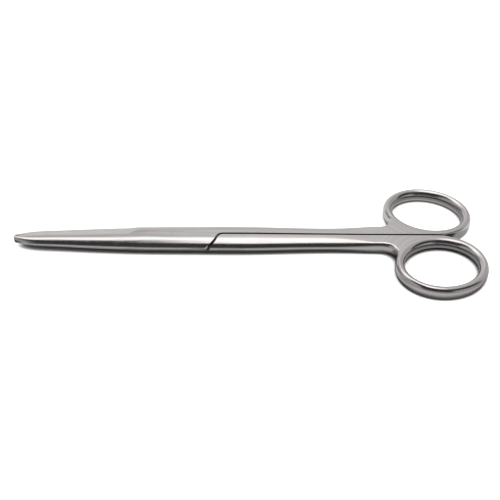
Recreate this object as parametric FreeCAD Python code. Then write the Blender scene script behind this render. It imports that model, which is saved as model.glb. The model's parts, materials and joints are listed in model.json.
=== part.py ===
"""Straight dissecting scissors with blunt bevelled blades, closed and lying flat.

Two forged steel halves lap at a screw joint, and each half is the other turned over about the long
axis. Frame: millimetres, +X from the blade tips to the finger rings, +Z up, with the parting plane of
the lap joint level. The upper half carries the top blade and the finger ring on the +Y side.
"""
import math
import os

import FreeCAD
import Part

V = FreeCAD.Vector

# Overall sizes
overall_length = 170.0
blade_reach = 67.8            # blade tip to pivot
box_thickness = 5.5           # both halves together, at the lap joint
ring_thickness = 4.65

# Half widths of the closed pair, from the tips to the rings
tip_half_width = 1.5
nose_half_width = 3.2
fore_blade_half_width = 4.1
mid_blade_half_width = 4.9
blade_root_half_width = 6.0
pivot_half_width = 6.2
box_end_half_width = 6.3
taper_half_width = 5.75
waist_half_width = 5.5
strip_half_width = 5.75

# Distances of the blade's stations from the tip
nose_station = 5.0
fore_blade_station = 13.0
mid_blade_station = 25.0
blade_root_station = 48.0

# Places behind the pivot: the joint's end, then two stations as shares of the shank up to the strip
box_end_reach = 18.2
taper_share = 0.38
waist_share = 0.73
ring_strip_reach = 39.0       # from the rings' rear end forward to where the ring's own section starts

# Thicknesses of the closed pair at the stations away from the joint
tip_thickness = 2.7
nose_thickness = 3.1
fore_blade_thickness = 3.65
mid_blade_thickness = 4.3
blade_root_thickness = 5.4
box_end_thickness = 5.45
taper_thickness = 5.1
waist_thickness = 4.85

# How far in from the side the rounded corners start
tip_corner_run = 1.2
nose_corner_run = 2.2
fore_blade_corner_run = 2.8
mid_blade_corner_run = 3.4
blade_root_corner_run = 4.4
box_corner_run = 4.5
taper_corner_run = 4.0
waist_corner_run = 3.4
side_land = 0.2               # upright strip left between an upper and a lower corner
face_skim = 0.04              # ground off the crown at top and bottom

# Blades
nose_corner = 1.6             # radius of the tip's corners in plan
nose_round = 0.7              # radius along the top and bottom of its end face
bevel_start = 47.5            # from the tip
bevel_runout = 5.5            # length over which the bevel fades out
bevel_lift = 1.2              # how far the bevel has risen where it has faded out
bevel_crest = -0.5            # crest of the bevel from the centre line, negative past it
bevel_land = 0.35             # thickness left at the cutting edge
bevel_overlap = 1.5           # how far the bevel's cutter starts inside the crest
hollow_radius = 60.0          # wheel that hollows the inner face
hollow_depth = 0.12
hollow_length = 57.0          # from the tip
hollow_margin = 0.7           # flat land left beside the cutting edge

# Lap joint
lap_clearance = 0.04
shoulder_radius = 7.5         # about the pivot
shoulder_corner = 2.0
shoulder_gap = 0.7
shoulder_turn = 80.0          # degrees of a shoulder's arc from the long axis, to end outside the part
shank_gap = 0.8

# Finger rings
hole_half_length = 13.1
hole_half_width = 11.6
ring_wall = 3.35
ring_tilt = -25.0             # degrees, rear end of the oval towards the centre line
crotch_radius = 2.5           # where the shank runs into the ring
ring_outer_round = 1.4
ring_hole_round = 1.85
gap_edge_round = 0.15
edge_rise_angle = 75.0        # degrees of the oval over which the small rounding grows to the large

# Pivot screw
head_diameter = 5.6
head_height = 1.1
head_recess = 0.15
shank_diameter = 3.6
thread_diameter = 3.0
thread_length = 1.8
slot_width = 0.8
slot_depth = 0.5
slot_angle = 25.0
running_clearance = 0.03
thread_clearance = 0.01
thread_end_clearance = 0.1
head_side_clearance = 0.1
head_seat_clearance = 0.02

# Places that follow from the sizes
tip_x = -overall_length / 2
pivot_x = tip_x + blade_reach
box_end_x = pivot_x + box_end_reach
strip_x = overall_length / 2 - ring_strip_reach
taper_x = box_end_x + taper_share * (strip_x - box_end_x)
waist_x = box_end_x + waist_share * (strip_x - box_end_x)
face_height = box_thickness / 2 - face_skim
inner_face = lap_clearance / 2
half_gap = shank_gap / 2
beyond = overall_length       # how far cutting bodies reach past the part
drill_start = box_thickness   # how far outside the metal a bore's cutter starts
same_place = 0.01             # points nearer than this are one point


def section(x, half_width, thickness, run, drop):
    """Outline across the closed pair at x: four elliptical corners of run by drop, joined by lines."""
    w, h = half_width, thickness / 2
    corners = [(w, h - drop, w, h, w - run, h),
               (run - w, h, -w, h, -w, h - drop),
               (-w, drop - h, -w, -h, run - w, -h),
               (w - run, -h, w, -h, w, drop - h)]
    edges = []
    for i, (y0, z0, y1, z1, y2, z2) in enumerate(corners):
        arc = Part.BezierCurve()
        arc.setPoles([V(x, y0, z0), V(x, y1, z1), V(x, y2, z2)])
        arc.setWeight(2, math.sqrt(0.5))
        next_y, next_z = corners[(i + 1) % 4][:2]
        edges += [arc.toShape(), Part.makeLine(V(x, y2, z2), V(x, next_y, next_z))]
    return Part.Wire(edges)


def envelope():
    """Loft of the closed pair's blades, joint and shanks, up to where the rings begin."""
    stations = [
        (tip_x, tip_half_width, tip_thickness, tip_corner_run),
        (tip_x + nose_station, nose_half_width, nose_thickness, nose_corner_run),
        (tip_x + fore_blade_station, fore_blade_half_width, fore_blade_thickness, fore_blade_corner_run),
        (tip_x + mid_blade_station, mid_blade_half_width, mid_blade_thickness, mid_blade_corner_run),
        (tip_x + blade_root_station, blade_root_half_width, blade_root_thickness, blade_root_corner_run),
        (pivot_x, pivot_half_width, box_thickness, box_corner_run),
        (box_end_x, box_end_half_width, box_end_thickness, box_corner_run),
        (taper_x, taper_half_width, taper_thickness, taper_corner_run),
        (waist_x, waist_half_width, waist_thickness, waist_corner_run),
    ]
    wires = [section(x, w, t, run, (t - side_land) / 2) for x, w, t, run in stations]
    wires.append(section(strip_x, strip_half_width, ring_thickness, ring_outer_round, ring_outer_round))
    body = Part.makeLoft(wires, True, False)
    skimmed = Part.makeBox(overall_length, 2 * beyond, 2 * face_height, V(tip_x, -beyond, -face_height))
    plan = prism(wedge(tip_half_width, nose_half_width, nose_corner), -beyond, beyond)
    profile = prism(wedge(tip_thickness / 2, nose_thickness / 2, nose_round), -beyond, beyond)
    profile.rotate(V(0, 0, 0), V(1, 0, 0), 90)
    return body.common(skimmed).common(plan).common(profile)


def wedge(tip_half, nose_half, corner):
    """Outline from the tip to the strip that widens at the tip's taper, with round front corners."""
    taper = (nose_half - tip_half) / nose_station
    lean = math.atan(taper)
    centre = V(tip_x + corner, tip_half + taper * corner * (1 - math.sin(lean)) - corner * math.cos(lean), 0)
    turn = math.pi / 2 + lean
    rear_half = tip_half + taper * (strip_x - tip_x)

    def on(angle):
        return centre + V(corner * math.cos(angle), corner * math.sin(angle), 0)

    def mirrored(point):
        return V(point.x, -point.y, 0)

    front, middle, touch, rear = on(math.pi), on((math.pi + turn) / 2), on(turn), V(strip_x, rear_half, 0)
    return [Part.makeLine(mirrored(front), front), Part.Arc(front, middle, touch).toShape(),
            Part.makeLine(touch, rear), Part.makeLine(rear, mirrored(rear)),
            Part.makeLine(mirrored(rear), mirrored(touch)),
            Part.Arc(mirrored(touch), mirrored(middle), mirrored(front)).toShape()]


def prism(edges, z_low, z_high):
    """Upright body over a closed plan outline."""
    face = Part.Face(Part.Wire(edges))
    face.translate(V(0, 0, z_low))
    return face.extrude(V(0, 0, z_high - z_low))


def near_shank_plan(line_y, radius, corner):
    """Plan of everything right of a shoulder arc about the pivot and on the -Y side of line_y."""
    corner_y = line_y - corner
    corner_x = pivot_x + math.sqrt((radius + corner) ** 2 - corner_y ** 2)
    turn = math.atan2(corner_y, corner_x - pivot_x)
    low = math.radians(-shoulder_turn)
    pivot, centre = V(pivot_x, 0, 0), V(corner_x, corner_y, 0)
    far = strip_x + beyond

    def on(middle, r, angle):
        return middle + V(r * math.cos(angle), r * math.sin(angle), 0)

    start, touch, end = V(corner_x, line_y, 0), on(pivot, radius, turn), on(pivot, radius, low)
    corner_arc = Part.Arc(start, on(centre, corner, (math.pi / 2 + math.pi + turn) / 2), touch)
    shoulder = Part.Arc(touch, on(pivot, radius, (turn + low) / 2), end)
    outline = [V(end.x, -beyond, 0), V(far, -beyond, 0), V(far, line_y, 0), start]
    lines = [Part.makeLine(a, b) for a, b in zip([end] + outline, outline)]
    return [corner_arc.toShape(), shoulder.toShape()] + lines


def turned_over(shape):
    """Half turn about the long axis, which takes one half of the scissors to the other."""
    copy = shape.copy()
    copy.rotate(V(0, 0, 0), V(1, 0, 0), 180)
    return copy


def lapped(body):
    """The upper half's share of the closed pair: the top layer, and the whole +Y shank."""
    shank = turned_over(prism(near_shank_plan(-half_gap, shoulder_radius, shoulder_corner),
                              -beyond, beyond))
    near = near_shank_plan(half_gap, shoulder_radius - shoulder_gap, shoulder_corner + shoulder_gap)
    below = Part.makeBox(2 * overall_length, 2 * beyond, beyond,
                         V(-overall_length, -beyond, inner_face - beyond)).cut(shank)
    return body.cut(below).cut(prism(near, -beyond, beyond))


def bevel_cutter():
    """Everything above a plane from the crest on top of the blade down to the cutting edge."""
    run_end = bevel_start - bevel_runout
    stations = [(0.0, tip_half_width, tip_thickness, 0.0),
                (nose_station, nose_half_width, nose_thickness, 0.0),
                (fore_blade_station, fore_blade_half_width, fore_blade_thickness, 0.0),
                (mid_blade_station, mid_blade_half_width, mid_blade_thickness, 0.0),
                (run_end, *between_stations(run_end), 0.0),
                (bevel_start, *between_stations(bevel_start), bevel_lift)]
    wires = []
    for s, w, t, lift in stations:
        slope = (t / 2 - bevel_land) / (w - bevel_crest)
        high, low = bevel_crest - bevel_overlap, w + bevel_overlap
        top = t / 2 + (bevel_crest - high) * slope + lift
        bottom = t / 2 - (low - bevel_crest) * slope + lift
        points = [V(tip_x + s, high, top), V(tip_x + s, low, bottom), V(tip_x + s, low, top)]
        wires.append(Part.makePolygon(points + points[:1]))
    return Part.makeLoft(wires, True, True)


def between_stations(s):
    """Half width and thickness at a distance from the tip, between the mid blade and the blade root."""
    share = (s - mid_blade_station) / (blade_root_station - mid_blade_station)
    return (mid_blade_half_width + share * (blade_root_half_width - mid_blade_half_width),
            mid_blade_thickness + share * (blade_root_thickness - mid_blade_thickness))


def hollow_cutter():
    """Large cylinder along the cutting edge that hollows the blade's inner face."""
    half_chord = math.sqrt(2 * hollow_radius * hollow_depth)
    rear_x = tip_x + hollow_length
    start = V(rear_x, blade_root_half_width - hollow_margin - half_chord,
              inner_face + hollow_depth - hollow_radius)
    taper = (blade_root_half_width - nose_half_width) / (blade_root_station - nose_station)
    return Part.makeCylinder(hollow_radius, 2 * hollow_length, start, V(-1, -taper, 0))


def ring_blank():
    """Finger ring and the strip of shank that runs into it, with all its edges rounded."""
    tilt = math.radians(ring_tilt)
    outer = (hole_half_length + ring_wall, hole_half_width + ring_wall)
    centre = V(overall_length / 2 - math.hypot(outer[0] * math.cos(tilt), outer[1] * math.sin(tilt)),
               half_gap + math.hypot(outer[0] * math.sin(tilt), outer[1] * math.cos(tilt)), 0)

    def oval(a, b):
        return Part.Ellipse(centre + V(a * math.cos(tilt), a * math.sin(tilt), 0),
                            centre + V(-b * math.sin(tilt), b * math.cos(tilt), 0), centre)

    height = math.hypot(outer[0] * math.sin(tilt), outer[1] * math.cos(tilt))
    phase = math.atan2(outer[1] * math.cos(tilt), outer[0] * math.sin(tilt))
    lowest = phase - math.pi
    meets_strip = phase + math.acos((strip_half_width - centre.y) / height)
    rise_end = lowest + math.radians(edge_rise_angle)
    curve = oval(*outer)
    low_point, strip_point = curve.value(lowest), curve.value(meets_strip)
    plan = [Part.makeLine(V(strip_x, half_gap, 0), low_point),
            curve.toShape(lowest, rise_end), curve.toShape(rise_end, meets_strip),
            Part.makeLine(strip_point, V(strip_x, strip_half_width, 0)),
            Part.makeLine(V(strip_x, strip_half_width, 0), V(strip_x, half_gap, 0))]
    h = ring_thickness / 2
    plate = prism(plan, -h, h)
    crotch = [e for e in plate.Edges if e.Length > ring_thickness - same_place
              and all(v.Point.distanceToPoint(V(strip_point.x, strip_point.y, v.Z)) < same_place
                      for v in e.Vertexes)]
    plate = plate.makeFillet(crotch_radius, crotch)
    plate = plate.cut(prism([oval(hole_half_length, hole_half_width).toShape()], -ring_thickness,
                            ring_thickness))

    def radii(edge):
        """Rounding at the start and end of a level edge."""
        middle = edge.valueAt((edge.FirstParameter + edge.LastParameter) / 2)
        first, last = edge.valueAt(edge.FirstParameter), edge.valueAt(edge.LastParameter)
        level = V(low_point.x, low_point.y, middle.z)
        if len(edge.Vertexes) == 1:
            return ring_hole_round, ring_hole_round
        if abs(middle.y - half_gap) < same_place:
            return gap_edge_round, gap_edge_round
        if first.distanceToPoint(level) < same_place:
            return gap_edge_round, ring_outer_round
        if last.distanceToPoint(level) < same_place:
            return ring_outer_round, gap_edge_round
        return ring_outer_round, ring_outer_round

    level_edges = [(i, e) for i, e in enumerate(plate.Edges, 1)
                   if e.BoundBox.ZLength < same_place and e.BoundBox.XMax > strip_x + same_place]
    document = FreeCAD.newDocument("ring")
    base = document.addObject("Part::Feature", "blank")
    base.Shape = plate
    rounded = document.addObject("Part::Fillet", "rounded")
    rounded.Base = base
    rounded.Edges = [(i, *radii(e)) for i, e in level_edges]
    document.recompute()
    return rounded.Shape.copy()


def plain_half():
    """Upper half before the screw holes, with the parting plane at z = 0."""
    bladed = lapped(envelope())
    bladed = bladed.cut(bevel_cutter()).cut(hollow_cutter())
    return bladed.fuse(ring_blank()).removeSplitter()


def upright_cylinder(radius, z_low, z_high):
    return Part.makeCylinder(radius, z_high - z_low, V(pivot_x, 0, z_low))


def placed(shape):
    """Lift from the parting plane to the height at which the joint's underside lies at z = 0."""
    shape.translate(V(0, 0, face_height))
    return shape


def upper_half(half):
    hole = upright_cylinder(thread_diameter / 2 + thread_clearance, -inner_face,
                            inner_face + thread_length + thread_end_clearance)
    return placed(half.cut(hole))


def lower_half(half):
    start = -face_height - drill_start
    bore = upright_cylinder(shank_diameter / 2 + running_clearance, start, inner_face + drill_start)
    seat = head_recess + head_height + head_seat_clearance - face_height
    counterbore = upright_cylinder(head_diameter / 2 + head_side_clearance, start, seat)
    return placed(turned_over(half).cut(bore).cut(counterbore))


def pivot_screw():
    """Slotted shoulder screw, put in from below; its shoulder seats on the upper half's inner face."""
    head_low = head_recess - face_height
    head_high = head_low + head_height
    head = upright_cylinder(head_diameter / 2, head_low, head_high)
    rim = [e for e in head.Edges if e.BoundBox.ZMax < head_low + same_place]
    head = head.makeChamfer(slot_depth / 2, rim)
    shank = upright_cylinder(shank_diameter / 2, head_low + slot_depth, inner_face)
    thread = upright_cylinder(thread_diameter / 2, 0, inner_face + thread_length)
    slot = Part.makeBox(2 * head_diameter, slot_width, slot_depth,
                        V(pivot_x - head_diameter, -slot_width / 2, head_low))
    slot.rotate(V(pivot_x, 0, 0), V(0, 0, 1), slot_angle)
    return placed(head.fuse(shank).fuse(thread).removeSplitter().cut(slot))


half = plain_half()
parts = {"upper_half": upper_half(half), "lower_half": lower_half(half), "pivot_screw": pivot_screw()}
os.makedirs("parts", exist_ok=True)
for name, shape in parts.items():
    shape.exportStep(f"parts/{name}.step")
    box = shape.BoundBox
    print(f"{name}: {len(shape.Solids)} solid, {shape.Volume:.1f} mm3, valid {shape.isValid()}, "
          f"x {box.XMin:.2f} to {box.XMax:.2f}, y {box.YMin:.2f} to {box.YMax:.2f}, "
          f"z {box.ZMin:.2f} to {box.ZMax:.2f}")
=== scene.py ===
"""Looks of a pair of straight dissecting scissors in satin steel, closed and lying on a pale floor.

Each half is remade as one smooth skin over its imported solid: a cross-section carried from the blade tip
to the strip before the finger ring, two rounded profiles carried round the ring, and two flats between
them. Shape sizes are in millimetres, with heights measured from the parting plane of the lap joint.
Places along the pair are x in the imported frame, or s from the tip.
"""
import json
import math

import bmesh
import bpy
import numpy as np
from mathutils import Matrix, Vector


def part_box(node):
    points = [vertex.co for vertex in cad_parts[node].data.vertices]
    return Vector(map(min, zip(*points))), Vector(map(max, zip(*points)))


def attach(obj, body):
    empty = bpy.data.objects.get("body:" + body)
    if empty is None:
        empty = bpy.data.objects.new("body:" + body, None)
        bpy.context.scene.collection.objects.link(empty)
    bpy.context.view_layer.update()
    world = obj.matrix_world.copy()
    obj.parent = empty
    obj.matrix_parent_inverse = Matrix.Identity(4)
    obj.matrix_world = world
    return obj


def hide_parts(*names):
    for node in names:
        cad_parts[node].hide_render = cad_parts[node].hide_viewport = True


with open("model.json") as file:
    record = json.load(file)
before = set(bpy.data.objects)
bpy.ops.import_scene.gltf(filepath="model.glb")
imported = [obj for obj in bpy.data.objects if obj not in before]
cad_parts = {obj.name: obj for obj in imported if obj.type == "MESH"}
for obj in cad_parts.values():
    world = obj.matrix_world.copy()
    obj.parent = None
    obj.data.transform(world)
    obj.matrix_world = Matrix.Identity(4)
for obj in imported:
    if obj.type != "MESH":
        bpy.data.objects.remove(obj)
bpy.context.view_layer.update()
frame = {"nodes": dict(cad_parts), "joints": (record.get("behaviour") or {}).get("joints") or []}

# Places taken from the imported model
MM = 0.001
upper_low, upper_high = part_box("upper_half")
pivot_x, _, parting_height = [c / MM for c in frame["joints"][0]["pos_m"]]
tip_x = upper_low.x / MM
rear_x = upper_high.x / MM
face_height = upper_high.z / MM - parting_height

# Closed pair from the tips to the rings: distance from the tip, half width, thickness, corner run
STATIONS = np.array([
    (0.0, 1.5, 2.7, 1.2),
    (5.0, 3.2, 3.1, 2.2),
    (13.0, 4.1, 3.65, 2.8),
    (25.0, 4.9, 4.3, 3.4),
    (48.0, 6.0, 5.4, 4.4),
    (67.8, 6.2, 5.5, 4.5),
    (86.0, 6.3, 5.45, 4.5),
    (103.1, 5.75, 5.1, 4.0),
    (118.85, 5.5, 4.85, 3.4),
    (131.0, 5.75, 4.65, 1.4),
])
side_land = 0.2
edge_break = 0.07

# Inner face above the parting plane; gap each side of the centre line, which widens towards the joint
inner_face = 0.02
half_gap = 0.4
gap_flare = 0.05

# Arch across the joint and shanks, and where it rises and fades along them
arch_radius = 150.0
arch_reach = (38.0, 52.0, 116.0, 130.0)

# Blade tip, bevel and hollow-ground inner face
nose_corner = 1.6
nose_round = 0.7
nose_blend = 0.08
bevel_start = 47.5
bevel_runout = 5.5
bevel_crest = -0.5
bevel_land = 0.6
bevel_lift = 1.2
crest_glide = 22.0
hollow_radius = 60.0
hollow_depth = 0.12
hollow_margin = 0.7
hollow_start = 1.0
hollow_length = 57.0
hollow_fade = 4.0

# Seam along the parting line: half its opening everywhere, and more at the bevel's run-out and by the
# shoulder, as places along and the most that is added; its depth is this many times the half opening
seam_round = 0.03
seam_at_runout = (39.0, 44.0, 49.0, 0.08)
seam_at_shoulder = (63.0, 68.0, 0.22)
seam_depth = 5.0

# Relief groove in the lap at the foot of each shoulder: the width from which it has its full depth
groove_full_width = 0.4
groove_depth = 0.45

# Shoulders: arcs about the pivot, each with a round corner that leads into the gap between the shanks
shoulder_radius = 7.7
shoulder_corner = 2.0
shoulder_gap = 0.85
NEAR_SHOULDER = (shoulder_radius - shoulder_gap, shoulder_corner + shoulder_gap, -half_gap)
UNDER_SHOULDER = (shoulder_radius, shoulder_corner, half_gap)

# Finger ring
hole_half_length = 13.1
hole_half_width = 11.6
ring_wall = 3.35
ring_tilt = math.radians(-25.0)
crotch_radius = 4.5
ring_outer_round = 1.4
ring_hole_round = 1.85
rim_fullness = 1.4
rim_most = 2.2
edge_rise_angle = math.radians(75.0)

# Screw seat, cut as plain cylinders: radius, and heights from the parting plane
thread_hole = (1.51, -1.0, 1.92)
shank_bore = (1.83, -1.6, 1.0)
head_seat = (2.9, -4.0, -1.44)

# Most that an edge's rounding takes of the width or the height there; the upper edge of a shoulder has
# its full rounding once the shoulder is this many roundings in from the side
edge_of_width = 1 / 8
rim_of_width = 1 / 3
seam_of_width = 1 / 6
edge_of_height = 0.5
shoulder_break_run = 20.0

# Points across each part of a section, and a seam's quarter-round edge as shares of its size
wall_points = 4
seam_inset = np.array([1.0, 0.293, 0.0, 0.0])
arc_points = 11
flat_points = 34
inner_points = 22
dense_points = 240
turn_weight = 0.6

# Places along each stretch, round the ring and round a drum
nose_places = 16
blade_places = 36
runout_places = 26
lap_places = 22
shank_places = 50
shoulder_arc_places = 26
shoulder_corner_places = 16
strip_edge_places = 7
crotch_places = 26
ring_places = 189
ring_gap_places = 39
ring_search_places = 4000
hole_places = 200
drum_sides = 96

# Distances under which two things count as one
least_step = 0.004
least_gap = 0.001
guard = 0.02
merge_reach = 0.002
sliver = 0.0005
level_reach = 0.001

strip_x = tip_x + STATIONS[-1, 0]
ring_half_height = STATIONS[-1, 2] / 2
strip_half_width = STATIONS[-1, 1]


def smooth_through(values, s):
    """Natural cubic spline through the stations: the bends at the knots solve the three-term system of
    equal slopes, and each span is the cubic that its two ends and bends give."""
    knots = STATIONS[:, 0]
    gap = np.diff(knots)
    inner = np.arange(1, len(knots) - 1)
    system = np.diag(np.r_[1.0, 2 * (gap[:-1] + gap[1:]), 1.0])
    system[inner, inner - 1] = gap[:-1]
    system[inner, inner + 1] = gap[1:]
    bend = np.linalg.solve(system, np.r_[0.0, 6 * np.diff(np.diff(values) / gap), 0.0])
    i = np.clip(np.searchsorted(knots, s) - 1, 0, len(gap) - 1)
    g, before, after = gap[i], s - knots[i], knots[i + 1] - s
    cubic = (bend[i] * after ** 3 + bend[i + 1] * before ** 3) / (6 * g)
    line = (values[i] / g - bend[i] * g / 6) * after + (values[i + 1] / g - bend[i + 1] * g / 6) * before
    return cubic + line


def half_width(s):
    """Half width of the closed pair, at a distance from the tip."""
    return smooth_through(STATIONS[:, 1], s)


def half_thickness(s):
    """Half thickness of the closed pair, at a distance from the tip."""
    return smooth_through(STATIONS[:, 2] / 2, s)


def corner_run(s):
    """Width of the rounded corner on each side, at a distance from the tip."""
    return smooth_through(STATIONS[:, 3], s)


def corner_drop(s):
    """Height that the rounded corner falls: to the side land, and at the strip as far as a ring's rim."""
    drops = (STATIONS[:, 2] - side_land) / 2
    drops[-1] = rim_rise(ring_outer_round)
    return smooth_through(drops, s)


def rim_rise(radius):
    """Height of a rim's rounding whose inset is the radius: a fuller oval than a plain quarter circle."""
    return np.minimum(rim_fullness * radius, rim_most)


def seam(s):
    """Rounding of the edges at the parting line, at a distance from the tip."""
    start, middle, end, most = seam_at_runout
    runout = most * smooth_step(start, middle, s) * (1 - smooth_step(middle, end, s))
    return seam_round + runout + seam_at_shoulder[2] * smooth_step(*seam_at_shoulder[:2], s)


def smooth_step(start, end, s):
    """0 before start, 1 after end, and a cubic with level ends between."""
    share = np.clip((s - start) / (end - start), 0, 1)
    return share * share * (3 - 2 * share)


def crown(s, y):
    """Height of the pair's rounded outside: a slight arch over the joint and shanks, then a quarter
    ellipse down to the side land."""
    w, run, drop = half_width(s), corner_run(s), corner_drop(s)
    into = np.clip((abs(y) - w + run) / run, 0, 1)
    arched = smooth_step(*arch_reach[:2], s) - smooth_step(*arch_reach[2:], s)
    arch = arched * y ** 2 / (2 * arch_radius)
    return np.minimum(half_thickness(s) - drop + drop * np.sqrt(1 - into ** 2) - arch, face_height)


def bevel(s, y):
    """Height of the plane from the crest of the blade down to its edge, lifted where it runs out."""
    h = half_thickness(s)
    slope = (h - bevel_land) / (half_width(s) - bevel_crest)
    raised = np.clip((s - bevel_start + bevel_runout) / bevel_runout, 0, None) * bevel_lift
    return h - (y - bevel_crest) * slope + raised


def wedge(s, tip_half, nose_half, corner):
    """Half size of the tapered tip: an arc at its front corner, then the tapered side that it touches."""
    taper = (nose_half - tip_half) / STATIONS[1, 0]
    lean = math.atan(taper)
    touch = corner * (1 - math.sin(lean))
    centre = tip_half + taper * touch - corner * math.cos(lean)
    arc = centre + np.sqrt(corner ** 2 - np.clip(corner - s, 0, corner) ** 2)
    return np.where(s < touch, arc, tip_half + taper * s)


def top(s, y):
    """Height of the upper half's outside: the lowest of crown, tip rounding and bevel."""
    tip_half, nose_half = STATIONS[:2, 2] / 2
    height = np.minimum(crown(s, y), wedge(s, tip_half, nose_half, nose_round))
    return np.where(s < bevel_start, np.minimum(height, bevel(s, y)), height)


def plan_half_width(s):
    """Half width in plan: the lesser of the tip's wedge and the stations' curve, with a soft change."""
    tapered, curved = wedge(s, *STATIONS[:2, 1], nose_corner), half_width(s)
    return (tapered + curved - np.sqrt((tapered - curved) ** 2 + nose_blend ** 2)) / 2


def shoulder_line(x, radius, corner, gap_line):
    """Distance from the centre line of a shoulder: an arc about the pivot, then a corner into the gap."""
    corner_centre = corner + gap_line
    corner_x = pivot_x + math.sqrt((radius + corner) ** 2 - corner_centre ** 2)
    touch_x = pivot_x + radius * (corner_x - pivot_x) / (radius + corner)
    from_pivot = np.clip(x - pivot_x, 0, radius)
    from_corner = np.clip(x - corner_x, -corner, 0)
    arc = np.sqrt(radius ** 2 - from_pivot ** 2)
    return np.where(x < touch_x, arc, corner_centre - np.sqrt(corner ** 2 - from_corner ** 2))


def shoulder_places(radius, corner, gap_line):
    """Places along x that follow a shoulder evenly: equal turns of its arc, then of its corner."""
    corner_centre = corner + gap_line
    corner_x = pivot_x + math.sqrt((radius + corner) ** 2 - corner_centre ** 2)
    turn = math.asin(corner_centre / (radius + corner))
    start = math.asin(half_width(pivot_x - tip_x) / radius)
    arc = pivot_x + radius * np.cos(np.linspace(start, turn, shoulder_arc_places))
    corner_arc = corner_x - corner * np.cos(np.linspace(turn, math.pi / 2, shoulder_corner_places))
    return np.r_[arc, corner_arc]


def places_along():
    """Every place along x that has a section: close together at the tip, run-out and shoulders."""
    near = shoulder_places(*NEAR_SHOULDER)
    under = shoulder_places(*UNDER_SHOULDER)
    tip = tip_x + nose_corner * (1 - np.cos(np.linspace(0, math.pi / 2, nose_places)))
    blade = np.linspace(tip[-1], tip_x + bevel_start - bevel_runout, blade_places)
    runout = np.linspace(blade[-1], tip_x + bevel_start, runout_places)
    lap = np.linspace(runout[-1], min(near[0], under[0]), lap_places)
    shank = np.linspace(max(near[-1], under[-1]), strip_x, shank_places)
    x = np.unique(np.round(np.r_[tip, blade, runout, lap, near, under, shank], 4))
    return x[np.r_[True, np.diff(x) > least_step]]


def crest_line(s):
    """Where the flat top ends: the bevel's crest, its crease as it runs out, then the rounded corner."""
    flat_end = half_width(s) - corner_run(s)
    share = np.linspace(0, 1, dense_points)[:, None]
    y = bevel_crest + share * (half_width(s) - bevel_crest)
    over = bevel(s, y) - crown(s, y)
    first = np.where((over < 0).any(0), (over < 0).argmax(0), over.argmin(0))
    crease = np.take_along_axis(y, first[None], 0)[0]
    last = np.flatnonzero(s <= bevel_start)[-1]
    glide = smooth_step(s[last], s[last] + crest_glide, s)
    leaving = flat_end + (crease[last] - flat_end[last]) * (1 - glide)
    bevelled = np.where(s < bevel_start - bevel_runout, bevel_crest, crease)
    return np.where(s <= bevel_start, bevelled, leaving)


def spread(y, z, count):
    """Points along dense rows, evenly spaced by their length plus a share of their turning."""
    dy, dz = np.diff(y, axis=1), np.diff(z, axis=1)
    heading = np.unwrap(np.arctan2(dz, dy), axis=1)
    turning = abs(np.diff(heading, axis=1, prepend=heading[:, :1]))
    weight = np.hypot(dy, dz) + turn_weight * turning + 1e-9
    along = np.concatenate([np.zeros((len(y), 1)), np.cumsum(weight, axis=1)], axis=1)
    even = np.linspace(0, 1, count)
    rows = [(np.interp(even * a[-1], a, row_y), np.interp(even * a[-1], a, row_z))
            for a, row_y, row_z in zip(along, y, z)]
    return np.array(rows).transpose(1, 0, 2)


def between(start, end, share):
    """Rows of numbers from start to end, at the given shares of the way."""
    return start[:, None] + (end - start)[:, None] * share[None]


def outer_profile(radius):
    """Inset and height down a plate's rounded rim, from its top flat to its bottom flat."""
    turn = np.linspace(0, math.pi / 2, arc_points)
    inset = radius * (1 - np.sin(turn))
    height = ring_half_height - rim_rise(radius) * (1 - np.cos(turn))
    upper_wall = np.linspace(height[-1], inner_face, wall_points)[1:]
    lower_wall = np.linspace(inner_face, -height[-1], wall_points)[1:]
    inset = np.r_[radius + guard, inset, np.zeros(2 * wall_points - 2), inset[::-1][1:], radius + guard]
    height = np.r_[ring_half_height, height, upper_wall, lower_wall, -height[::-1][1:], -ring_half_height]
    return inset, height


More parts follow.
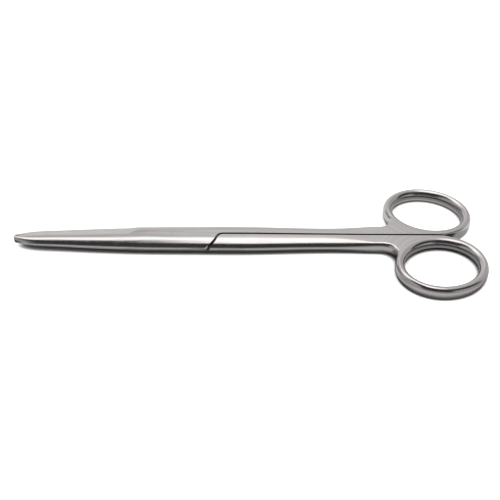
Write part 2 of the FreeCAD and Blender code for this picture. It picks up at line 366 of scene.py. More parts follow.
def half_sections():
    """Closed sections of the upper half: up the near wall, over the top, down the far side, back under
    the lap and along the inner face. Rows are places along x, columns go round the section."""
    x = places_along()
    s = x - tip_x
    plan = plan_half_width(s)
    flare = gap_flare * (1 - smooth_step(pivot_x + shoulder_radius, strip_x, x))
    near = -np.minimum(shoulder_line(x, *NEAR_SHOULDER) - flare, plan)
    under = np.minimum(shoulder_line(x, *UNDER_SHOULDER) + flare, plan)
    lapped = under < plan - least_gap
    cut = near > least_gap - plan
    column = s[:, None]
    quarter = np.linspace(0, math.pi / 2, arc_points)
    level = np.linspace(0, 1, wall_points)
    dense = np.linspace(0, 1, dense_points)
    ends = 0.5 - 0.5 * np.cos(math.pi * dense)
    far = np.sin(math.pi / 2 * dense)

    # Half opening of the seam at each side, then width of the relief groove and height of its top
    edge = np.minimum(seam(s), plan * seam_of_width)
    near_edge = np.where(cut, 0, edge)
    far_edge = np.where(lapped | cut, 0, edge)
    groove = np.clip(np.minimum(under + near, under - near), 0, None)
    groove_top = inner_face + groove_depth * np.clip(groove / groove_full_width, 0, 1)
    far_bottom = np.where(lapped, inner_face, groove_top)

    # Near wall and its rounded upper edge
    rounding = np.minimum(edge_break, (plan - near) * edge_of_width)
    room = edge_of_height * (top(s, near + rounding) - inner_face)
    most = np.minimum(np.minimum(edge_break, room), (near + plan) / shoulder_break_run)
    broken = np.where(cut, most, 0)
    arc_y = near[:, None] + rounding[:, None] * (1 - np.cos(quarter))
    arc_z = top(column, arc_y) - broken[:, None] * (1 - np.sin(quarter))
    arc_z = np.maximum(arc_z, inner_face + near_edge[:, None])
    wall_y = near[:, None] + near_edge[:, None] * seam_depth * seam_inset
    wall_z = np.c_[inner_face + near_edge[:, None] * seam_inset[2::-1], arc_z[:, :1]]

    # Top, far side and far wall
    crest = np.clip(crest_line(s), near + rounding + guard, plan - guard)
    flat_y = between(near + rounding, crest, ends)
    flat_y, flat_z = spread(flat_y, top(column, flat_y), flat_points)
    side_y = between(crest, plan, far)
    side_y, side_z = spread(side_y, top(column, side_y), arc_points)
    side_z = np.maximum(side_z, (far_bottom + far_edge)[:, None])
    far_y = plan[:, None] - far_edge[:, None] * seam_depth * seam_inset[::-1]
    far_z = np.c_[side_z[:, -1:], far_bottom[:, None] + far_edge[:, None] * seam_inset[:3]]

    # Back under the lap; where there is none, all of this is one point at the foot of the far wall
    rim = np.minimum(edge_break, np.clip(plan - under, 0, None) * rim_of_width)
    turn = np.maximum(half_width(s) - corner_run(s), under + rim)
    foot_z = np.where(lapped, -crown(s, plan), groove_top)
    foot = between(far_bottom, foot_z, level)
    face_end = plan - far_edge * seam_depth
    foot_y = np.repeat(face_end[:, None], wall_points, 1)
    below_y = plan[:, None] - (plan - turn)[:, None] * (1 - far[::-1])
    below_y, below_z = spread(below_y, -crown(column, below_y), arc_points)
    sole_y = between(turn, under + rim, ends)
    sole_y, sole_z = spread(sole_y, -crown(column, sole_y), flat_points)
    lip_y = under[:, None] + rim[:, None] * (1 - np.sin(quarter))
    lip_room = np.minimum(rim, edge_of_height * (crown(s, under) + inner_face))
    lip_z = -crown(column, lip_y) + lip_room[:, None] * (1 - np.cos(quarter))
    gap_y = np.repeat(under[:, None], wall_points, 1)
    gap_z = between(lip_z[:, -1], groove_top, level)
    for rows_y, rows_z in ((below_y, below_z), (sole_y, sole_z), (lip_y, lip_z), (gap_y, gap_z)):
        rows_y[~lapped] = face_end[~lapped, None]
        rows_z[~lapped] = groove_top[~lapped, None]

    # Inner face: the top of the groove, its step and the hollow-ground face
    face_start = np.minimum(under, face_end)
    ground_y = between(face_start - groove, near + near_edge * seam_depth,
                       np.linspace(0, 1, inner_points - 2))
    face_y = np.c_[face_start, ground_y[:, 0], ground_y]
    face_z = np.c_[groove_top, groove_top, hollow(s, ground_y)]
    parts = [(wall_y, wall_z), (arc_y, arc_z), (flat_y, flat_z), (side_y, side_z), (far_y, far_z),
             (foot_y, foot), (below_y, below_z), (sole_y, sole_z), (lip_y, lip_z), (gap_y, gap_z),
             (face_y, face_z)]
    y = np.concatenate([p[:, 1:] for p, _ in parts], axis=1)
    z = np.concatenate([p[:, 1:] for _, p in parts], axis=1)
    return np.stack([np.repeat(x[:, None], y.shape[1], 1), y, z], axis=2)


def hollow(s, y):
    """Height of the inner face: level, with a shallow round hollow along the blade behind its edge."""
    half_chord = math.sqrt(2 * hollow_radius * hollow_depth)
    middle = half_width(s) - hollow_margin - half_chord
    depth = hollow_depth - (y - middle[:, None]) ** 2 / (2 * hollow_radius)
    ends = np.clip(np.minimum(s - hollow_start, hollow_length - s) / hollow_fade, 0, 1)
    return inner_face + np.clip(depth, 0, None) * ends[:, None]


def strip_section(rows):
    """Sets the last section's points to the ring's own profiles, so that ring and shank share them."""
    gap_inset, gap_height = outer_profile(edge_break)
    far_inset, far_height = outer_profile(ring_outer_round)
    crossing = np.linspace(half_gap + edge_break + guard, strip_half_width - ring_outer_round - guard,
                           flat_points - 2)
    flat = np.r_[crossing, strip_half_width - ring_outer_round]
    sole = np.r_[crossing[::-1], half_gap + edge_break]
    lip = arc_points
    middle = lip + wall_points - 1
    level = np.full(flat_points - 1, ring_half_height)
    y = np.r_[half_gap + gap_inset[middle - 1:0:-1], flat, strip_half_width - far_inset[2:-1], sole,
              half_gap + gap_inset[-3:middle - 1:-1], np.full(inner_points - 1, half_gap)]
    z = np.r_[gap_height[middle - 1:0:-1], level, far_height[2:-1], -level,
              gap_height[-3:middle - 1:-1], np.full(inner_points - 1, inner_face)]
    rows[-1, :, 1] = y
    rows[-1, :, 2] = z
    return rows


def ring_centre():
    """Centre of the ring's ovals: its outside touches the rear end and the gap's side."""
    wide = (hole_half_length + ring_wall, hole_half_width + ring_wall)
    return np.array([
        rear_x - math.hypot(wide[0] * math.cos(ring_tilt), wide[1] * math.sin(ring_tilt)),
        half_gap + math.hypot(wide[0] * math.sin(ring_tilt), wide[1] * math.cos(ring_tilt))])


def oval(long_half, short_half, angle):
    """Points and outward directions of the tilted oval at the given angles."""
    long_way = np.array([math.cos(ring_tilt), math.sin(ring_tilt)])
    short_way = np.array([-math.sin(ring_tilt), math.cos(ring_tilt)])
    c, s = np.cos(angle)[:, None], np.sin(angle)[:, None]
    points = ring_centre() + long_half * c * long_way + short_half * s * short_way
    out = c / long_half * long_way + s / short_half * short_way
    return points, out / np.linalg.norm(out, axis=1, keepdims=True)


def ring_outline():
    """Plan of the ring's outside, from the strip's outer edge round to its gap edge: points, outward
    directions and edge rounding. The crotch is an arc that touches the strip's edge and the oval."""
    long_half, short_half = hole_half_length + ring_wall, hole_half_width + ring_wall
    highest = math.atan2(short_half * math.cos(ring_tilt), long_half * math.sin(ring_tilt))
    lowest = highest - math.pi
    left = np.linspace(highest, highest + math.pi, ring_search_places)
    points, out = oval(long_half, short_half, left)
    centre_y = strip_half_width + crotch_radius
    touch = np.interp(-centre_y, -(points + crotch_radius * out)[:, 1], left)
    touch_point, touch_out = oval(long_half, short_half, np.array([touch]))
    centre = (touch_point + crotch_radius * touch_out)[0]

    edge_x = np.linspace(strip_x, centre[0], strip_edge_places + 1)[:-1]
    edge = np.stack([edge_x, np.full(strip_edge_places, strip_half_width)], 1)
    turn = np.linspace(-math.pi / 2, math.atan2(-touch_out[0, 1], -touch_out[0, 0]), crotch_places)
    facing = np.stack([np.cos(turn), np.sin(turn)], 1)
    crotch = centre + crotch_radius * facing
    angle = np.linspace(touch, lowest, ring_places + 1)[1:]
    around, around_out = oval(long_half, short_half, angle)
    gap_x = np.linspace(around[-1, 0], strip_x, ring_gap_places + 1)[1:]
    gap = np.stack([gap_x, np.full(ring_gap_places, half_gap)], 1)
    points = np.r_[edge, crotch, around, gap]
    out = np.r_[np.tile([0.0, 1.0], (strip_edge_places, 1)), -facing, around_out,
                np.tile([0.0, -1.0], (ring_gap_places, 1))]
    rise = np.clip((angle - lowest) / edge_rise_angle, 0, 1)
    rounding = np.r_[np.full(strip_edge_places + crotch_places, ring_outer_round),
                     edge_break + (ring_outer_round - edge_break) * rise,
                     np.full(ring_gap_places, edge_break)]
    return points, out, rounding


def rim_sweep(points, out, rounding, side):
    """A rounded rim carried along a plan curve, with side +1 for an outer edge and -1 round a hole."""
    profiles = np.array([outer_profile(r) for r in rounding])
    inset, height = profiles[:, 0], profiles[:, 1]
    x = points[:, :1] - side * out[:, :1] * inset
    y = points[:, 1:] - side * out[:, 1:] * inset
    return np.stack([x, y, height], axis=2)


def grid_quads(rows, columns, closed_along, closed_across, first):
    """Quads of a grid of points, numbered row by row from first."""
    i = np.arange(rows if closed_along else rows - 1)[:, None]
    j = np.arange(columns if closed_across else columns - 1)[None]
    next_i, next_j = (i + 1) % rows, (j + 1) % columns
    corners = [i * columns + j, next_i * columns + j, next_i * columns + next_j, i * columns + next_j]
    return first + np.stack(np.broadcast_arrays(*corners), axis=-1).reshape(-1, 4)


def half_skin():
    """Points and quads of the upper half without its two ring flats."""
    sections = strip_section(half_sections())
    end_cap = np.repeat(sections[:1].mean(axis=1, keepdims=True), sections.shape[1], axis=1)
    body = np.concatenate([end_cap, sections])
    outline = ring_outline()
    outer = rim_sweep(*outline, 1)
    angle = np.linspace(0, 2 * math.pi, hole_places, endpoint=False)
    hole_points, hole_out = oval(hole_half_length, hole_half_width, angle)
    inner = rim_sweep(hole_points, hole_out, np.full(hole_places, ring_hole_round), -1)
    points, quads, count = [], [], 0
    for grid, closed_along, closed_across in ((body, False, True), (outer, False, False),
                                              (inner, True, False)):
        quads.append(grid_quads(*grid.shape[:2], closed_along, closed_across, count))
        points.append(grid.reshape(-1, 3))
        count += len(points[-1])
    return np.concatenate(points), np.concatenate(quads)


def closed_mesh(name, points, quads):
    """A mesh with its repeated points merged and each level hole that is left filled flat."""
    mesh = bpy.data.meshes.new(name)
    mesh.from_pydata((points * MM).tolist(), [], quads.tolist())
    work = bmesh.new()
    work.from_mesh(mesh)
    bmesh.ops.remove_doubles(work, verts=work.verts, dist=merge_reach * MM)
    bmesh.ops.dissolve_degenerate(work, edges=work.edges, dist=sliver * MM)
    for height in (ring_half_height, -ring_half_height):
        level = (parting_height + height) * MM
        rim = [e for e in work.edges if e.is_boundary
               and all(abs(v.co.z - level) < level_reach * MM for v in e.verts)]
        bmesh.ops.triangle_fill(work, edges=rim, use_beauty=True)
    bmesh.ops.recalc_face_normals(work, faces=work.faces)
    work.to_mesh(mesh)
    work.free()
    return mesh


def upright_cylinder(radius, low, high):
    """Closed drum about the pivot: a profile of four points turned about the axis."""
    angle = np.linspace(0, 2 * math.pi, drum_sides, endpoint=False)[:, None]
    reach = np.array([[0.0, radius, radius, 0.0]])
    x = pivot_x + reach * np.cos(angle)
    y = reach * np.sin(angle)
    z = np.broadcast_to([[low, low, high, high]], x.shape) + parting_height
    drum = np.stack([x, y, z], axis=2)
    return closed_mesh("drum", drum.reshape(-1, 3), grid_quads(*drum.shape[:2], True, False, 0))


def bored(mesh, *drums):
    """The mesh with each drum cut out of it."""
    piece = bpy.data.objects.new("boring", mesh)
    bpy.context.collection.objects.link(piece)
    cutters = [bpy.data.objects.new("cutter", upright_cylinder(*drum)) for drum in drums]
    for cutter in cutters:
        bpy.context.collection.objects.link(cutter)
        cut = piece.modifiers.new("cut", "BOOLEAN")
        cut.operation = "DIFFERENCE"
        cut.solver = "EXACT"
        cut.object = cutter
    bpy.context.view_layer.update()
    made = bpy.data.meshes.new_from_object(piece.evaluated_get(bpy.context.evaluated_depsgraph_get()))
    for spare in [piece, *cutters]:
        bpy.data.objects.remove(spare)
    return made


# Finish of the steel: scale and detail of its noise, for each millimetre, and how it is drawn out into lines
FINE_LINES = 3.0
FINE_DETAIL = 3.0
BROAD_LINES = 0.8
BROAD_DETAIL = 2.0
PATCH_SCALE = 0.25
ALONG_LINES = 0.05
LINE_CONTRAST = 0.6

# Stretch over which the shank's straight lines give way to the ring's, from the strip
TO_RING_LINES = (-3.0, 9.0)

# How the noise, over its usual range, varies roughness, colour and surface; depth in millimetres
NOISE_RANGE = (0.3, 0.7)
FINE_SHARE = 0.55
ROUGHNESS_SPREAD = 0.07
COLOUR_SPREAD = 0.06
BROAD_GRAIN = 2.0
GRAIN_DEPTH = 0.0015
SATIN_COLOUR = (0.64, 0.61, 0.6)
SATIN_ROUGHNESS = 0.2
TURNED_COLOUR = (0.6, 0.59, 0.58)
TURNED_ROUGHNESS = 0.3
SHARP_ANGLE = math.radians(18.0)


def maths(nodes, links, operation, first, second=0.0, third=0.0):
    """A Math node on sockets or plain numbers; returns its result."""
    node = nodes.new("ShaderNodeMath")
    node.operation = operation
    for socket, value in zip(node.inputs, (first, second, third)):
        if isinstance(value, (int, float)):
            socket.default_value = value
        else:
            links.new(value, socket)
    return node.outputs[0]


def ranged(nodes, links, value, low, high, to_low, to_high, kind="SMOOTHSTEP"):
    """Value carried from one range to another, held at the ends."""
    node = nodes.new("ShaderNodeMapRange")
    node.interpolation_type = kind
    for name, number in (("From Min", low), ("From Max", high), ("To Min", to_low), ("To Max", to_high)):
        node.inputs[name].default_value = number
    links.new(value, node.inputs["Value"])
    return node.outputs["Result"]


def mixed(nodes, links, share, first, second):
    """Plain mix of two values by a share."""
    node = nodes.new("ShaderNodeMix")
    links.new(share, node.inputs["Factor"])
    for socket, value in ((node.inputs["A"], first), (node.inputs["B"], second)):
        if isinstance(value, (int, float)):
            socket.default_value = value
        else:
            links.new(value, socket)
    return node.outputs["Result"]


def belt_lines(nodes, links, across, along, height, scale, detail):
    """Noise drawn out along the way that the belt ran: fine across it and long along it."""
    place = nodes.new("ShaderNodeCombineXYZ")
    for socket, value, scaled in zip(place.inputs, (along, across, height), (ALONG_LINES, 1.0, 1.0)):
        links.new(maths(nodes, links, "MULTIPLY", value, scaled), socket)
    noise = nodes.new("ShaderNodeTexNoise")
    noise.inputs["Scale"].default_value = scale
    noise.inputs["Detail"].default_value = detail
    noise.inputs["Roughness"].default_value = LINE_CONTRAST
    links.new(place.outputs[0], noise.inputs["Vector"])
    return noise.outputs[0]


def steel(name, colour, roughness):
    """Satin steel: fine belt lines along the blades and shanks and round the rings, which vary the
    roughness, the colour and the surface; broad soft patches vary all three a little more."""
    material = bpy.data.materials.new(name)
    material.use_nodes = True
    nodes, links = material.node_tree.nodes, material.node_tree.links
    shader = nodes["Principled BSDF"]
    shader.inputs["Metallic"].default_value = 1.0
    metre = nodes.new("ShaderNodeTexCoord").outputs["Object"]
    to_mm = nodes.new("ShaderNodeVectorMath")
    to_mm.operation = "SCALE"
    to_mm.inputs["Scale"].default_value = 1 / MM
    links.new(metre, to_mm.inputs[0])
    axes = nodes.new("ShaderNodeSeparateXYZ")
    links.new(to_mm.outputs[0], axes.inputs[0])
    x, y, z = axes.outputs
    centre_x, centre_y = ring_centre()
    out_x = maths(nodes, links, "SUBTRACT", x, float(centre_x))
    out_y = maths(nodes, links, "SUBTRACT", maths(nodes, links, "ABSOLUTE", y), float(centre_y))
    square_x = maths(nodes, links, "MULTIPLY", out_x, out_x)
    square_y = maths(nodes, links, "MULTIPLY", out_y, out_y)
    reach = maths(nodes, links, "SQRT", maths(nodes, links, "ADD", square_x, square_y))
    turn = maths(nodes, links, "ARCTAN2", out_y, out_x)
    round_ring = maths(nodes, links, "MULTIPLY", turn, hole_half_length)
    first, last = TO_RING_LINES
    on_ring = ranged(nodes, links, x, strip_x + first, strip_x + last, 0.0, 1.0)
    fine, broad = [
        mixed(nodes, links, on_ring, belt_lines(nodes, links, y, x, z, scale, detail),
              belt_lines(nodes, links, reach, round_ring, z, scale, detail))
        for scale, detail in ((FINE_LINES, FINE_DETAIL), (BROAD_LINES, BROAD_DETAIL))]
    patches = nodes.new("ShaderNodeTexNoise")
    patches.inputs["Scale"].default_value = PATCH_SCALE
    links.new(to_mm.outputs[0], patches.inputs["Vector"])
    wear = maths(nodes, links, "ADD", maths(nodes, links, "MULTIPLY", fine, FINE_SHARE),
                 maths(nodes, links, "MULTIPLY", patches.outputs[0], 1 - FINE_SHARE))
    worn = ranged(nodes, links, wear, *NOISE_RANGE, roughness - ROUGHNESS_SPREAD,
                  roughness + ROUGHNESS_SPREAD, "LINEAR")
    links.new(worn, shader.inputs["Roughness"])
    tint = nodes.new("ShaderNodeMix")
    tint.data_type = "RGBA"
    links.new(ranged(nodes, links, broad, *NOISE_RANGE, 0.0, 1.0, "LINEAR"), tint.inputs["Factor"])
    for name, share in (("A", 1 - COLOUR_SPREAD), ("B", 1 + COLOUR_SPREAD)):
        tint.inputs[name].default_value = (*(c * share for c in colour), 1.0)
    links.new(tint.outputs["Result"], shader.inputs["Base Color"])
    grain = maths(nodes, links, "ADD", fine, maths(nodes, links, "MULTIPLY", broad, BROAD_GRAIN))
    bump = nodes.new("ShaderNodeBump")
    bump.inputs["Strength"].default_value = 1.0
    bump.inputs["Distance"].default_value = GRAIN_DEPTH * MM
    links.new(grain, bump.inputs["Height"])
    links.new(bump.outputs["Normal"], shader.inputs["Normal"])
    return material


def half_of_pair(name, points, quads, material, body, *drums):
    """One half as a smooth piece on its body, with its screw holes bored and its real edges kept sharp."""
    mesh = bored(closed_mesh(name, points, quads), *drums)
    mesh.name = name
    mesh.materials.clear()
    mesh.materials.append(material)
    mesh.shade_smooth()
    mesh.set_sharp_from_angle(angle=SHARP_ANGLE)
    piece = bpy.data.objects.new(name, mesh)
    bpy.context.collection.objects.link(piece)
    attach(piece, body)
    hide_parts(body + "_half")
    return piece


def seen_directly(nodes, links):
    """1 where the camera, a reflection or clear glass looks, and 0 for light on its way to a surface."""
    path = nodes.new("ShaderNodeLightPath")
    total = path.outputs["Is Camera Ray"]
    for kind in ("Is Glossy Ray", "Is Transmission Ray"):
        either = nodes.new("ShaderNodeMath")
        either.operation = "MAXIMUM"
        links.new(total, either.inputs[0])
        links.new(path.outputs[kind], either.inputs[1])
        total = either.outputs[0]
    return total


# Floor: its glow, its colour in the open and where the object touches, its half side, and the place
# along x up to which the joint's underside lies on it, both in millimetres
FLOOR_LIFT = 0.45
FLOOR_ROUGHNESS = 0.9
FLOOR_PALE = 0.85
FLOOR_SHADED = 0.2
FLOOR_REACH = 2000.0
UNDERSIDE_END = 3.0

# Contact shadow: its reach in metres, and the openness up to which it is full and from which it is gone
CONTACT_REACH = 0.0055
CONTACT_DARK = 0.3
CONTACT_CLEAR = 0.6
CONTACT_SAMPLES = 16


def floor_material():
    """Pale floor that shows as white, with the object's shadow tight about where it touches."""
    material = bpy.data.materials.new("pale_floor")
    material.use_nodes = True
    nodes, links = material.node_tree.nodes, material.node_tree.links
    shader = nodes["Principled BSDF"]
    shader.inputs["Roughness"].default_value = FLOOR_ROUGHNESS
    shader.inputs["Specular IOR Level"].default_value = 0.0
    openness = nodes.new("ShaderNodeAmbientOcclusion")
    openness.samples = CONTACT_SAMPLES
    openness.inputs["Distance"].default_value = CONTACT_REACH
    clear = ranged(nodes, links, openness.outputs["AO"], CONTACT_DARK, CONTACT_CLEAR, 0.0, 1.0)
    pale = nodes.new("ShaderNodeMix")
    pale.data_type = "RGBA"
    links.new(clear, pale.inputs["Factor"])
    pale.inputs["A"].default_value = (FLOOR_SHADED, FLOOR_SHADED, FLOOR_SHADED, 1.0)
    pale.inputs["B"].default_value = (FLOOR_PALE, FLOOR_PALE, FLOOR_PALE, 1.0)
    links.new(pale.outputs["Result"], shader.inputs["Base Color"])
    glow = maths(nodes, links, "MULTIPLY", seen_directly(nodes, links), FLOOR_LIFT)
    shader.inputs["Emission Color"].default_value = (1.0, 1.0, 1.0, 1.0)
    links.new(maths(nodes, links, "MULTIPLY", glow, clear), shader.inputs["Emission Strength"])
    return material


def floor_height(x):
    """Height of the floor in millimetres: it touches the joint's level underside and the rings' rear."""
    return (x - UNDERSIDE_END) * (parting_height - ring_half_height) / (
        rear_x - ring_outer_round - UNDERSIDE_END)


def lay_floor():
    """Square floor on which the scissors rest."""
    corner = np.array([(-1, -1), (1, -1), (1, 1), (-1, 1)]) * FLOOR_REACH
    mesh = bpy.data.meshes.new("floor")
    mesh.from_pydata((np.c_[corner, floor_height(corner[:, 0])] * MM).tolist(), [], [(0, 1, 2, 3)])
    mesh.materials.append(floor_material())
    floor = bpy.data.objects.new("floor", mesh)
    bpy.context.collection.objects.link(floor)


# Overhead lamp, in metres and watts, and level of the fill light
LAMP_PLACE = (0.0, -0.33, 0.9)
LAMP_TARGET = (0.0, -0.33, 0.0)
LAMP_WIDTH = 2.2
LAMP_DEPTH = 1.33
LAMP_POWER = 16.5
FILL_LEVEL = 0.35


def softbox(name, place, target, width, depth, power):
    """Rectangular studio lamp that faces a point of the object, all in metres."""
    lamp = bpy.data.lights.new(name, "AREA")
    lamp.shape = "RECTANGLE"
    lamp.size = width
    lamp.size_y = depth
    lamp.energy = power
    box = bpy.data.objects.new(name, lamp)
    away = np.array(place) - np.array(target)
    back = away / np.linalg.norm(away)
    right = np.cross([0, 1, 0], back)
    right /= np.linalg.norm(right)
    up = np.cross(back, right)
    box.matrix_world = Matrix(np.r_[np.c_[right, up, back, place], [[0, 0, 0, 1]]].tolist())
    box.visible_camera = False
    box.visible_glossy = False
    bpy.context.collection.objects.link(box)


def set_world():
    """White surroundings for the camera and for reflections, and a dimmer fill light for the rest."""
    world = bpy.data.worlds.new("surroundings")
    bpy.context.scene.world = world
    world.use_nodes = True
    nodes, links = world.node_tree.nodes, world.node_tree.links
    strength = nodes.new("ShaderNodeMapRange")
    strength.inputs["To Min"].default_value = FILL_LEVEL
    strength.inputs["To Max"].default_value = 1.0
    links.new(seen_directly(nodes, links), strength.inputs["Value"])
    links.new(strength.outputs["Result"], nodes["Background"].inputs["Strength"])
    nodes["Background"].inputs["Color"].default_value = (1.0, 1.0, 1.0, 1.0)


def glowing(name):
    """Black material whose glow is set by its nodes; returns the material and its strength socket."""
    material = bpy.data.materials.new(name)
    material.use_nodes = True
    shader = material.node_tree.nodes["Principled BSDF"]
    shader.inputs["Base Color"].default_value = (0.0, 0.0, 0.0, 1.0)
    shader.inputs["Roughness"].default_value = 1.0
    shader.inputs["Specular IOR Level"].default_value = 0.0
    shader.inputs["Emission Color"].default_value = (1.0, 1.0, 1.0, 1.0)
    return material, shader.inputs["Emission Strength"]


def reflected_only(name, mesh, material):
    """Stage piece that only reflections see, so that it neither shows nor shades."""
    mesh.materials.append(material)
    panel = bpy.data.objects.new(name, mesh)
    panel.visible_camera = False
    panel.visible_diffuse = False
    panel.visible_shadow = False
    bpy.context.collection.objects.link(panel)


def levels(nodes, links, turn, stops):
    """Level by angle from the near horizon over the top, from stops in degrees, straight between."""
    ramp = nodes.new("ShaderNodeValToRGB")
    points = ramp.color_ramp.elements
    while len(points) < len(stops):
        points.new(0.5)
    for point, (degrees, level) in zip(points, stops):
        point.position = degrees / 180
        point.color = (level, level, level, 1.0)
    links.new(turn, ramp.inputs["Fac"])
    return ramp.outputs["Color"]


# Light tent: its size in metres, and levels by degrees over the top from the near horizon. Those of the
# joint give way to the others, each along its own stretch of x in metres
TENT_REACH = 1.0
TENT_RINGS = 25
TENT_SIDES = 64
TENT_STRENGTH = 1.7
JOINT_LEVELS = ((0, 0.2), (8, 0.12), (16, 0.03), (62, 0.02), (71, 0.05), (76, 0.3), (80, 1.0), (120, 1.0),
                (127, 0.72), (134, 0.58), (140, 0.5), (144, 0.4), (180, 0.4))
BLADE_LEVELS = ((0, 0.2), (8, 0.12), (16, 0.03), (84, 0.02), (97, 0.08), (102, 0.4), (106, 1.0),
                (122, 1.0), (129, 0.7), (135, 0.42), (140, 0.34), (152, 0.34), (160, 0.45), (180, 0.5))
LEFT_LEVELS = ((0, 0.3), (75, 0.2), (90, 0.25), (120, 0.3), (140, 0.22), (155, 0.16), (180, 0.12))
RIGHT_LEVELS = ((0, 0.1), (12, 0.05), (20, 0.03), (65, 0.03), (80, 0.2), (95, 0.3), (120, 0.32),
                (180, 0.3))
FAR_RIGHT_LEVELS = ((0, 0.3), (26, 0.25), (40, 0.03), (85, 0.03), (97, 0.3), (180, 0.3))
TENT_CHANGES = (
    (-0.08, -0.22, BLADE_LEVELS),
    (-0.52, -0.72, LEFT_LEVELS),
    (0.2, 0.36, RIGHT_LEVELS),
    (0.42, 0.6, FAR_RIGHT_LEVELS),
)


def light_tent():
    """Dome about the object: dark on the near side, a long bright softbox overhead and grey behind."""
    material, strength = glowing("light_tent")
    nodes, links = material.node_tree.nodes, material.node_tree.links
    axes = nodes.new("ShaderNodeSeparateXYZ")
    links.new(nodes.new("ShaderNodeTexCoord").outputs["Object"], axes.inputs[0])
    x, y, z = axes.outputs
    over = maths(nodes, links, "ARCTAN2", z, maths(nodes, links, "MULTIPLY", y, -1.0))
    turn = maths(nodes, links, "DIVIDE", over, math.pi)
    level = levels(nodes, links, turn, JOINT_LEVELS)
    for start, end, stops in TENT_CHANGES:
        low, high = sorted((start, end))
        share = ranged(nodes, links, x, low, high, float(low == end), float(high == end))
        level = mixed(nodes, links, share, level, levels(nodes, links, turn, stops))
    links.new(maths(nodes, links, "MULTIPLY", level, TENT_STRENGTH), strength)
    rise = np.linspace(0, math.pi / 2, TENT_RINGS)[:, None]
    around = np.linspace(0, 2 * math.pi, TENT_SIDES, endpoint=False)
    dome = np.stack([np.cos(rise) * np.cos(around), np.cos(rise) * np.sin(around),
                     np.sin(rise) + 0 * around], axis=2).reshape(-1, 3)
    quads = grid_quads(TENT_RINGS, TENT_SIDES, False, True, 0)
    mesh = bpy.data.meshes.new("light_tent")
    mesh.from_pydata((dome * TENT_REACH).tolist(), [], quads.tolist())
    reflected_only("light_tent", mesh, material)


# Cards on the floor, in millimetres: their reach, and their close places along the scissors, which go
# past the tips and rings; a ring's outline within BESIDE of a place counts there
CARD_REACH = 950.0
CARD_PLACES = 181
CARD_PAST_TIP = 4.0
CARD_PAST_REAR = 1.0
BESIDE = 1.0
DISC_SIDES = 60

# Height of the cards over the floor; share of their level past the tips, and the stretch where it changes
CARD_HEIGHT = 0.1
RING_CARD_HEIGHT = 0.2
CARD_END_DARK = 0.12
CARD_END_STRETCH = (-3.0, 1.0)

# Distance from the scissors' outline, level on the near side and on the far side
# Levels that fall towards and under the outline are painted shade: the floor's shadow as reflections see it
CARD_STEPS = np.array([
    (-CARD_REACH, 0.02, 0.4),
    (-2.0, 0.03, 0.5),
    (1.2, 0.2, 0.62),
    (3.2, 0.6, 0.74),
    (8.0, 0.65, 0.8),
    (16.0, 0.4, 0.8),
    (900.0, 0.15, 0.8),
])

# Card in each ring: size as a share of the hole's, and level
HOLE_CARD_STEPS = np.array([(0.01, 0.02), (0.55, 0.03), (0.78, 0.3), (0.97, 0.3)])


def floor_card(name, x, y, level, quads, height):
    """Card just over the floor that only reflections see, with its glow given point by point."""
    mesh = bpy.data.meshes.new(name)
    mesh.from_pydata((np.stack([x, y, floor_height(x) + height], axis=1) * MM).tolist(), [], quads)
    mesh.attributes.new("level", "FLOAT", "POINT").data.foreach_set("value", level)
    material, strength = glowing(name)
    nodes, links = material.node_tree.nodes, material.node_tree.links
    given = nodes.new("ShaderNodeAttribute")
    given.attribute_name = "level"
    links.new(given.outputs["Fac"], strength)
    reflected_only(name, mesh, material)


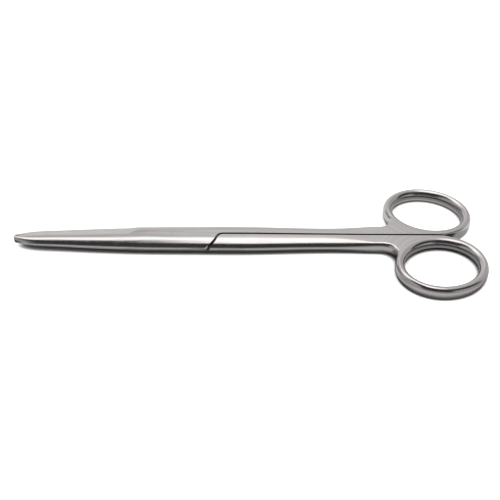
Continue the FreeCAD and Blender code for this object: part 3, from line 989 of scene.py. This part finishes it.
def floor_cards():
    """Two cards that meet under the closed scissors, the near one darker than the far one, both darker close
    to and under the scissors as painted shade of the floor in reflections, and a card in each ring that is
    dark at its middle."""
    ring = ring_outline()[0]
    x = np.r_[-CARD_REACH, np.linspace(tip_x - CARD_PAST_TIP, rear_x + CARD_PAST_REAR, CARD_PLACES),
              CARD_REACH]
    shank = np.where((x > tip_x) & (x < strip_x), plan_half_width(np.clip(x - tip_x, 0, None)), 0)
    beside = abs(ring[:, 0] - x[:, None]) < BESIDE
    outline = np.maximum(shank, np.where(beside, ring[:, 1], 0).max(1))
    across = np.maximum(outline[:, None] + CARD_STEPS[:, 0], 0).ravel()
    along = np.repeat(x, len(CARD_STEPS))
    quads = grid_quads(len(x), len(CARD_STEPS), False, False, 0).tolist()
    past_tip = CARD_END_DARK + (1 - CARD_END_DARK) * smooth_step(*CARD_END_STRETCH, x - tip_x)
    angle = np.linspace(0, 2 * math.pi, DISC_SIDES, endpoint=False)
    discs = np.concatenate([oval(share * hole_half_length, share * hole_half_width, angle)[0]
                            for share in HOLE_CARD_STEPS[:, 0]])
    disc_quads = grid_quads(len(HOLE_CARD_STEPS), DISC_SIDES, False, True, 0).tolist()
    disc_levels = np.repeat(HOLE_CARD_STEPS[:, 1], DISC_SIDES)
    for name, column, side in (("near_card", 1, -1), ("far_card", 2, 1)):
        # Each card's levels carry painted shade close to and under the scissors
        card_levels = np.outer(past_tip, CARD_STEPS[:, column]).ravel()
        floor_card(name, along, side * across, card_levels, quads, CARD_HEIGHT)
        floor_card(name + "_in_ring", discs[:, 0], side * discs[:, 1], disc_levels, disc_quads,
                   RING_CARD_HEIGHT)


# Camera of the photograph: place in millimetres, angles in degrees, focal length for a 36 mm frame, and
# nearest distance that it sees in metres
CAMERA_PLACE = (6.65, -215.27, 166.94)
CAMERA_YAW = 1.294
CAMERA_PITCH = 38.179
CAMERA_ROLL = 0.608
CAMERA_LENS = 53.18
CAMERA_CLIP = 0.01


def set_camera():
    """Camera looking down on the scissors: yaw about the upright, pitch below level, roll about its axis."""
    yaw, pitch, roll = (math.radians(a) for a in (CAMERA_YAW, CAMERA_PITCH, CAMERA_ROLL))
    ahead = np.array([-math.sin(yaw) * math.cos(pitch), math.cos(yaw) * math.cos(pitch), -math.sin(pitch)])
    level = np.array([math.cos(yaw), math.sin(yaw), 0.0])
    down = np.cross(ahead, level)
    right = math.cos(roll) * level + math.sin(roll) * down
    up = math.sin(roll) * level - math.cos(roll) * down
    place = np.array(CAMERA_PLACE) * MM
    data = bpy.data.cameras.new("camera")
    data.lens = CAMERA_LENS
    data.clip_start = CAMERA_CLIP
    camera = bpy.data.objects.new("camera", data)
    camera.matrix_world = Matrix(np.r_[np.c_[right, up, -ahead, place], [[0, 0, 0, 1]]].tolist())
    bpy.context.collection.objects.link(camera)
    bpy.context.scene.camera = camera


satin = steel("satin_steel", SATIN_COLOUR, SATIN_ROUGHNESS)
turned = steel("screw_steel", TURNED_COLOUR, TURNED_ROUGHNESS)
skin, skin_quads = half_skin()
lift = np.array([0.0, 0.0, parting_height])
half_of_pair("upper", skin + lift, skin_quads, satin, "upper", thread_hole)
half_of_pair("lower", skin * (1, -1, -1) + lift, skin_quads, satin, "lower", shank_bore, head_seat)
screw = frame["nodes"]["pivot_screw"]
screw.data.materials.clear()
screw.data.materials.append(turned)
lay_floor()
set_world()
softbox("overhead", LAMP_PLACE, LAMP_TARGET, LAMP_WIDTH, LAMP_DEPTH, LAMP_POWER)
light_tent()
floor_cards()
set_camera()
bpy.context.scene.view_settings.view_transform = "Standard"
